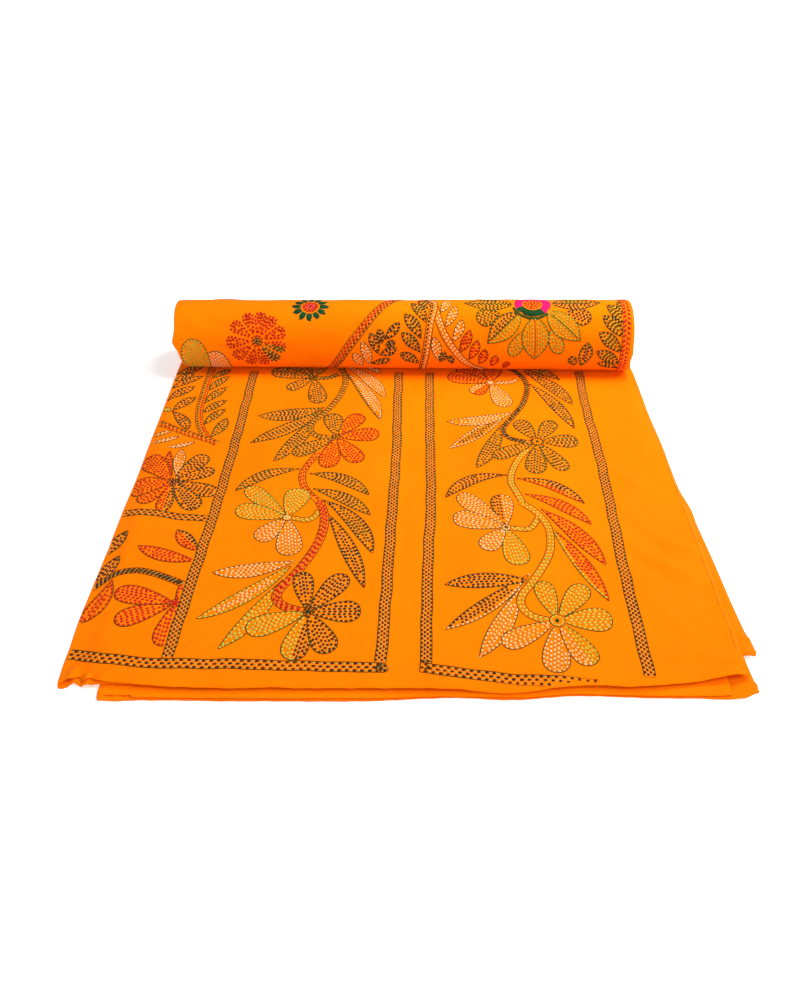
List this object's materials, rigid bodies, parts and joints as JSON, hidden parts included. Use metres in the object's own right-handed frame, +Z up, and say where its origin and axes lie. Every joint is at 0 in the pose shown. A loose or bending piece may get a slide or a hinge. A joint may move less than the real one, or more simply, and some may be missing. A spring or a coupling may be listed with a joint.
{
  "type": "kantha quilt",
  "caption": "Hand-embroidered cotton kantha quilt, folded in layers that lie flat, with its closed end rolled forward on top.",
  "frame": {"origin": "under the middle of the quilt's box, on the surface that it rests on", "axes": "+X along the roll, towards the open hems; +Y from the open front edge back to the roll; +Z up"},
  "size_m": [0.7829, 0.7123, 0.1249],
  "materials": {
    "orange_cotton": "matte",
    "navy_thread": "matte",
    "forest_thread": "matte",
    "red_thread": "matte",
    "crimson_thread": "matte",
    "blush_thread": "matte",
    "lime_thread": "matte",
    "olive_thread": "matte",
    "outline_thread": "matte"
  },
  "bodies": {
    "root": {"quilt": "orange_cotton"}
  },
  "joints": []
}
